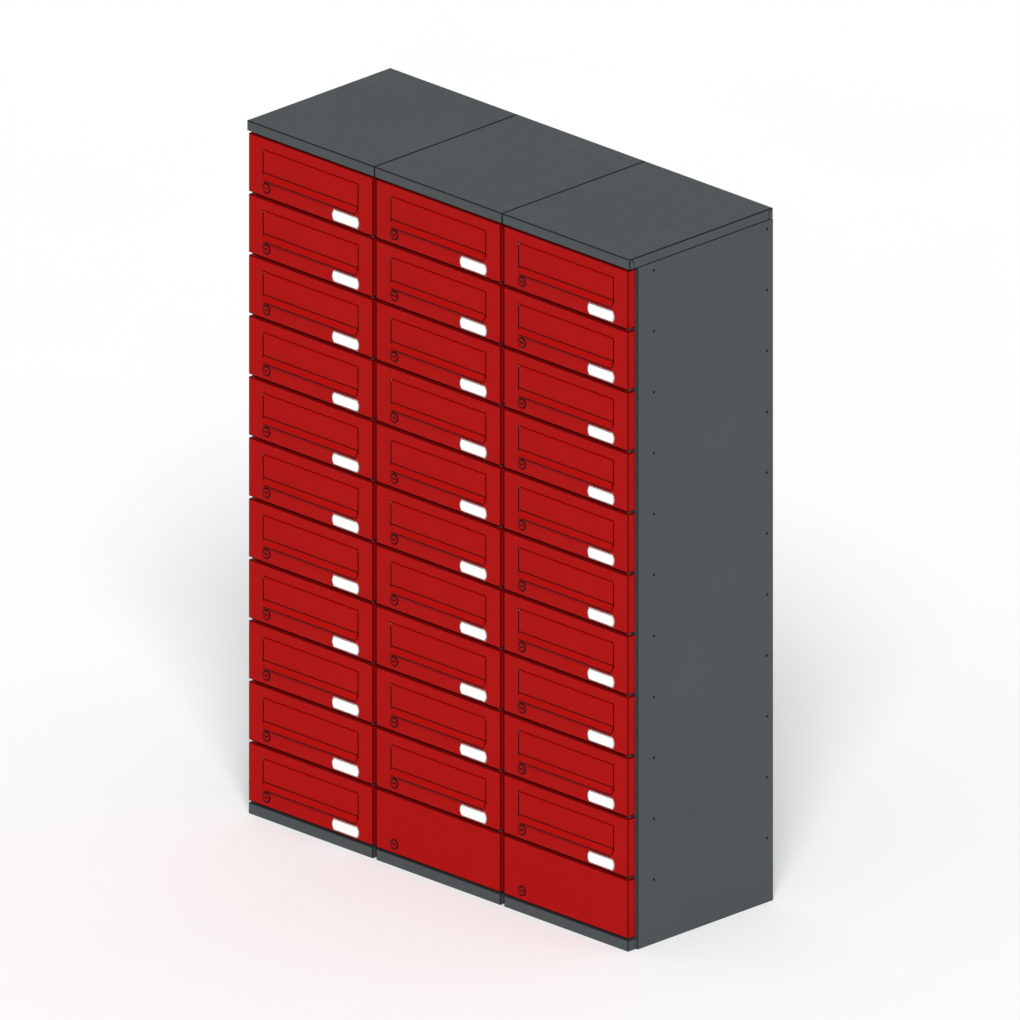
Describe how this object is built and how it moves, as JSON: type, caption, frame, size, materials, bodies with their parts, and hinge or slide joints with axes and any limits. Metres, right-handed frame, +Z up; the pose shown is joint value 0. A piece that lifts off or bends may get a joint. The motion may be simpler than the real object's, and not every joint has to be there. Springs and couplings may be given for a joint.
{
  "type": "letterbox locker bank",
  "caption": "Free-standing steel bank of stacked locked letterboxes with lifting mail flaps, name plates, side-hinged doors, separate top covers and plinth strips.",
  "frame": {"origin": "on the floor, under the middle of the bank's bounding box", "axes": "+Z up, doors face -Y, +X to the right seen from the front"},
  "size_m": [0.9104, 0.345, 1.25],
  "materials": {
    "casing_paint": "anthracite powder coat",
    "door_paint": "signal red powder coat",
    "rivet_steel": "blackened steel",
    "zinc_steel": "zinc plated",
    "name_plate": "white engraving laminate",
    "lock_steel": "nickel plated"
  },
  "bodies": {
    "casing": {"left_side_panel": "casing_paint", "right_side_panel": "casing_paint", "partition_walls": "casing_paint", "back_panels": "casing_paint", "base_trays": "casing_paint", "plinth_strips": "casing_paint", "shelves": "casing_paint", "shelf_rivets": "rivet_steel", "column_bolts": "zinc_steel", "top_cover_left": "casing_paint", "top_cover_middle": "casing_paint", "top_cover_right": "casing_paint", "cover_rails": "zinc_steel", "hinge_lugs": "casing_paint", "hinge_pins": "zinc_steel"},
    "door_c1_r01": {"door_c1_r01": "door_paint"},
    "door_c1_r02": {"door_c1_r02": "door_paint"},
    "door_c1_r03": {"door_c1_r03": "door_paint"},
    "door_c1_r04": {"door_c1_r04": "door_paint"},
    "door_c1_r05": {"door_c1_r05": "door_paint"},
    "door_c1_r06": {"door_c1_r06": "door_paint"},
    "door_c1_r07": {"door_c1_r07": "door_paint"},
    "door_c1_r08": {"door_c1_r08": "door_paint"},
    "door_c1_r09": {"door_c1_r09": "door_paint"},
    "door_c1_r10": {"door_c1_r10": "door_paint"},
    "door_c1_r11": {"door_c1_r11": "door_paint"},
    "door_c2_r01": {"door_c2_r01": "door_paint"},
    "door_c2_r02": {"door_c2_r02": "door_paint"},
    "door_c2_r03": {"door_c2_r03": "door_paint"},
    "door_c2_r04": {"door_c2_r04": "door_paint"},
    "door_c2_r05": {"door_c2_r05": "door_paint"},
    "door_c2_r06": {"door_c2_r06": "door_paint"},
    "door_c2_r07": {"door_c2_r07": "door_paint"},
    "door_c2_r08": {"door_c2_r08": "door_paint"},
    "door_c2_r09": {"door_c2_r09": "door_paint"},
    "door_c2_r10": {"door_c2_r10": "door_paint"},
    "door_c2_r11": {"door_c2_r11": "door_paint"},
    "door_c3_r01": {"door_c3_r01": "door_paint"},
    "door_c3_r02": {"door_c3_r02": "door_paint"},
    "door_c3_r03": {"door_c3_r03": "door_paint"},
    "door_c3_r04": {"door_c3_r04": "door_paint"},
    "door_c3_r05": {"door_c3_r05": "door_paint"},
    "door_c3_r06": {"door_c3_r06": "door_paint"},
    "door_c3_r07": {"door_c3_r07": "door_paint"},
    "door_c3_r08": {"door_c3_r08": "door_paint"},
    "door_c3_r09": {"door_c3_r09": "door_paint"},
    "door_c3_r10": {"door_c3_r10": "door_paint"},
    "door_c3_r11": {"door_c3_r11": "door_paint"},
    "flap_c1_r01": {"flap_c1_r01": "door_paint"},
    "flap_c1_r02": {"flap_c1_r02": "door_paint"},
    "flap_c1_r03": {"flap_c1_r03": "door_paint"},
    "flap_c1_r04": {"flap_c1_r04": "door_paint"},
    "flap_c1_r05": {"flap_c1_r05": "door_paint"},
    "flap_c1_r06": {"flap_c1_r06": "door_paint"},
    "flap_c1_r07": {"flap_c1_r07": "door_paint"},
    "flap_c1_r08": {"flap_c1_r08": "door_paint"},
    "flap_c1_r09": {"flap_c1_r09": "door_paint"},
    "flap_c1_r10": {"flap_c1_r10": "door_paint"},
    "flap_c1_r11": {"flap_c1_r11": "door_paint"},
    "lock_plug_c1_r01": {"lock_plug_c1_r01": "lock_steel"}
  },
  "joints": [
    {"name": "door_c1_r01_hinge", "type": "hinge", "parent": "casing", "child": "door_c1_r01", "pos_m": [-0.1625, -0.16, 1.175], "axis": [0, 0, 1], "range_deg": [0, 100]},
    {"name": "door_c1_r02_hinge", "type": "hinge", "parent": "casing", "child": "door_c1_r02", "pos_m": [-0.1625, -0.16, 1.065], "axis": [0, 0, 1], "range_deg": [0, 100]},
    {"name": "door_c1_r03_hinge", "type": "hinge", "parent": "casing", "child": "door_c1_r03", "pos_m": [-0.1625, -0.16, 0.955], "axis": [0, 0, 1], "range_deg": [0, 100]},
    {"name": "door_c1_r04_hinge", "type": "hinge", "parent": "casing", "child": "door_c1_r04", "pos_m": [-0.1625, -0.16, 0.845], "axis": [0, 0, 1], "range_deg": [0, 100]},
    {"name": "door_c1_r05_hinge", "type": "hinge", "parent": "casing", "child": "door_c1_r05", "pos_m": [-0.1625, -0.16, 0.735], "axis": [0, 0, 1], "range_deg": [0, 100]},
    {"name": "door_c1_r06_hinge", "type": "hinge", "parent": "casing", "child": "door_c1_r06", "pos_m": [-0.1625, -0.16, 0.625], "axis": [0, 0, 1], "range_deg": [0, 100]},
    {"name": "door_c1_r07_hinge", "type": "hinge", "parent": "casing", "child": "door_c1_r07", "pos_m": [-0.1625, -0.16, 0.515], "axis": [0, 0, 1], "range_deg": [0, 100]},
    {"name": "door_c1_r08_hinge", "type": "hinge", "parent": "casing", "child": "door_c1_r08", "pos_m": [-0.1625, -0.16, 0.405], "axis": [0, 0, 1], "range_deg": [0, 100]},
    {"name": "door_c1_r09_hinge", "type": "hinge", "parent": "casing", "child": "door_c1_r09", "pos_m": [-0.1625, -0.16, 0.295], "axis": [0, 0, 1], "range_deg": [0, 100]},
    {"name": "door_c1_r10_hinge", "type": "hinge", "parent": "casing", "child": "door_c1_r10", "pos_m": [-0.1625, -0.16, 0.185], "axis": [0, 0, 1], "range_deg": [0, 100]},
    {"name": "door_c1_r11_hinge", "type": "hinge", "parent": "casing", "child": "door_c1_r11", "pos_m": [-0.1625, -0.16, 0.075], "axis": [0, 0, 1], "range_deg": [0, 100]},
    {"name": "door_c2_r01_hinge", "type": "hinge", "parent": "casing", "child": "door_c2_r01", "pos_m": [0.141, -0.16, 1.175], "axis": [0, 0, 1], "range_deg": [0, 100]},
    {"name": "door_c2_r02_hinge", "type": "hinge", "parent": "casing", "child": "door_c2_r02", "pos_m": [0.141, -0.16, 1.065], "axis": [0, 0, 1], "range_deg": [0, 100]},
    {"name": "door_c2_r03_hinge", "type": "hinge", "parent": "casing", "child": "door_c2_r03", "pos_m": [0.141, -0.16, 0.955], "axis": [0, 0, 1], "range_deg": [0, 100]},
    {"name": "door_c2_r04_hinge", "type": "hinge", "parent": "casing", "child": "door_c2_r04", "pos_m": [0.141, -0.16, 0.845], "axis": [0, 0, 1], "range_deg": [0, 100]},
    {"name": "door_c2_r05_hinge", "type": "hinge", "parent": "casing", "child": "door_c2_r05", "pos_m": [0.141, -0.16, 0.735], "axis": [0, 0, 1], "range_deg": [0, 100]},
    {"name": "door_c2_r06_hinge", "type": "hinge", "parent": "casing", "child": "door_c2_r06", "pos_m": [0.141, -0.16, 0.625], "axis": [0, 0, 1], "range_deg": [0, 100]},
    {"name": "door_c2_r07_hinge", "type": "hinge", "parent": "casing", "child": "door_c2_r07", "pos_m": [0.141, -0.16, 0.515], "axis": [0, 0, 1], "range_deg": [0, 100]},
    {"name": "door_c2_r08_hinge", "type": "hinge", "parent": "casing", "child": "door_c2_r08", "pos_m": [0.141, -0.16, 0.405], "axis": [0, 0, 1], "range_deg": [0, 100]},
    {"name": "door_c2_r09_hinge", "type": "hinge", "parent": "casing", "child": "door_c2_r09", "pos_m": [0.141, -0.16, 0.295], "axis": [0, 0, 1], "range_deg": [0, 100]},
    {"name": "door_c2_r10_hinge", "type": "hinge", "parent": "casing", "child": "door_c2_r10", "pos_m": [0.141, -0.16, 0.185], "axis": [0, 0, 1], "range_deg": [0, 100]},
    {"name": "door_c2_r11_hinge", "type": "hinge", "parent": "casing", "child": "door_c2_r11", "pos_m": [0.141, -0.16, 0.075], "axis": [0, 0, 1], "range_deg": [0, 100]},
    {"name": "door_c3_r01_hinge", "type": "hinge", "parent": "casing", "child": "door_c3_r01", "pos_m": [0.4445, -0.16, 1.175], "axis": [0, 0, 1], "range_deg": [0, 100]},
    {"name": "door_c3_r02_hinge", "type": "hinge", "parent": "casing", "child": "door_c3_r02", "pos_m": [0.4445, -0.16, 1.065], "axis": [0, 0, 1], "range_deg": [0, 100]},
    {"name": "door_c3_r03_hinge", "type": "hinge", "parent": "casing", "child": "door_c3_r03", "pos_m": [0.4445, -0.16, 0.955], "axis": [0, 0, 1], "range_deg": [0, 100]},
    {"name": "door_c3_r04_hinge", "type": "hinge", "parent": "casing", "child": "door_c3_r04", "pos_m": [0.4445, -0.16, 0.845], "axis": [0, 0, 1], "range_deg": [0, 100]},
    {"name": "door_c3_r05_hinge", "type": "hinge", "parent": "casing", "child": "door_c3_r05", "pos_m": [0.4445, -0.16, 0.735], "axis": [0, 0, 1], "range_deg": [0, 100]},
    {"name": "door_c3_r06_hinge", "type": "hinge", "parent": "casing", "child": "door_c3_r06", "pos_m": [0.4445, -0.16, 0.625], "axis": [0, 0, 1], "range_deg": [0, 100]},
    {"name": "door_c3_r07_hinge", "type": "hinge", "parent": "casing", "child": "door_c3_r07", "pos_m": [0.4445, -0.16, 0.515], "axis": [0, 0, 1], "range_deg": [0, 100]},
    {"name": "door_c3_r08_hinge", "type": "hinge", "parent": "casing", "child": "door_c3_r08", "pos_m": [0.4445, -0.16, 0.405], "axis": [0, 0, 1], "range_deg": [0, 100]},
    {"name": "door_c3_r09_hinge", "type": "hinge", "parent": "casing", "child": "door_c3_r09", "pos_m": [0.4445, -0.16, 0.295], "axis": [0, 0, 1], "range_deg": [0, 100]},
    {"name": "door_c3_r10_hinge", "type": "hinge", "parent": "casing", "child": "door_c3_r10", "pos_m": [0.4445, -0.16, 0.185], "axis": [0, 0, 1], "range_deg": [0, 100]},
    {"name": "door_c3_r11_hinge", "type": "hinge", "parent": "casing", "child": "door_c3_r11", "pos_m": [0.4445, -0.16, 0.075], "axis": [0, 0, 1], "range_deg": [0, 100]},
    {"name": "flap_c1_r01_hinge", "type": "hinge", "parent": "door_c1_r01", "child": "flap_c1_r01", "pos_m": [-0.3035, -0.1657, 1.2043], "axis": [-1, 0, 0], "range_deg": [0, 70]},
    {"name": "flap_c1_r02_hinge", "type": "hinge", "parent": "door_c1_r02", "child": "flap_c1_r02", "pos_m": [-0.3035, -0.1657, 1.0943], "axis": [-1, 0, 0], "range_deg": [0, 70]},
    {"name": "flap_c1_r03_hinge", "type": "hinge", "parent": "door_c1_r03", "child": "flap_c1_r03", "pos_m": [-0.3035, -0.1657, 0.9843], "axis": [-1, 0, 0], "range_deg": [0, 70]},
    {"name": "flap_c1_r04_hinge", "type": "hinge", "parent": "door_c1_r04", "child": "flap_c1_r04", "pos_m": [-0.3035, -0.1657, 0.8743], "axis": [-1, 0, 0], "range_deg": [0, 70]},
    {"name": "flap_c1_r05_hinge", "type": "hinge", "parent": "door_c1_r05", "child": "flap_c1_r05", "pos_m": [-0.3035, -0.1657, 0.7643], "axis": [-1, 0, 0], "range_deg": [0, 70]},
    {"name": "flap_c1_r06_hinge", "type": "hinge", "parent": "door_c1_r06", "child": "flap_c1_r06", "pos_m": [-0.3035, -0.1657, 0.6543], "axis": [-1, 0, 0], "range_deg": [0, 70]},
    {"name": "flap_c1_r07_hinge", "type": "hinge", "parent": "door_c1_r07", "child": "flap_c1_r07", "pos_m": [-0.3035, -0.1657, 0.5443], "axis": [-1, 0, 0], "range_deg": [0, 70]},
    {"name": "flap_c1_r08_hinge", "type": "hinge", "parent": "door_c1_r08", "child": "flap_c1_r08", "pos_m": [-0.3035, -0.1657, 0.4343], "axis": [-1, 0, 0], "range_deg": [0, 70]},
    {"name": "flap_c1_r09_hinge", "type": "hinge", "parent": "door_c1_r09", "child": "flap_c1_r09", "pos_m": [-0.3035, -0.1657, 0.3243], "axis": [-1, 0, 0], "range_deg": [0, 70]},
    {"name": "flap_c1_r10_hinge", "type": "hinge", "parent": "door_c1_r10", "child": "flap_c1_r10", "pos_m": [-0.3035, -0.1657, 0.2143], "axis": [-1, 0, 0], "range_deg": [0, 70]},
    {"name": "flap_c1_r11_hinge", "type": "hinge", "parent": "door_c1_r11", "child": "flap_c1_r11", "pos_m": [-0.3035, -0.1657, 0.1043], "axis": [-1, 0, 0], "range_deg": [0, 70]},
    {"name": "lock_plug_c1_r01_turn", "type": "hinge", "parent": "door_c1_r01", "child": "lock_plug_c1_r01", "pos_m": [-0.40825, -0.1685, 1.14], "axis": [0, -1, 0], "range_deg": [0, 180]}
  ]
}
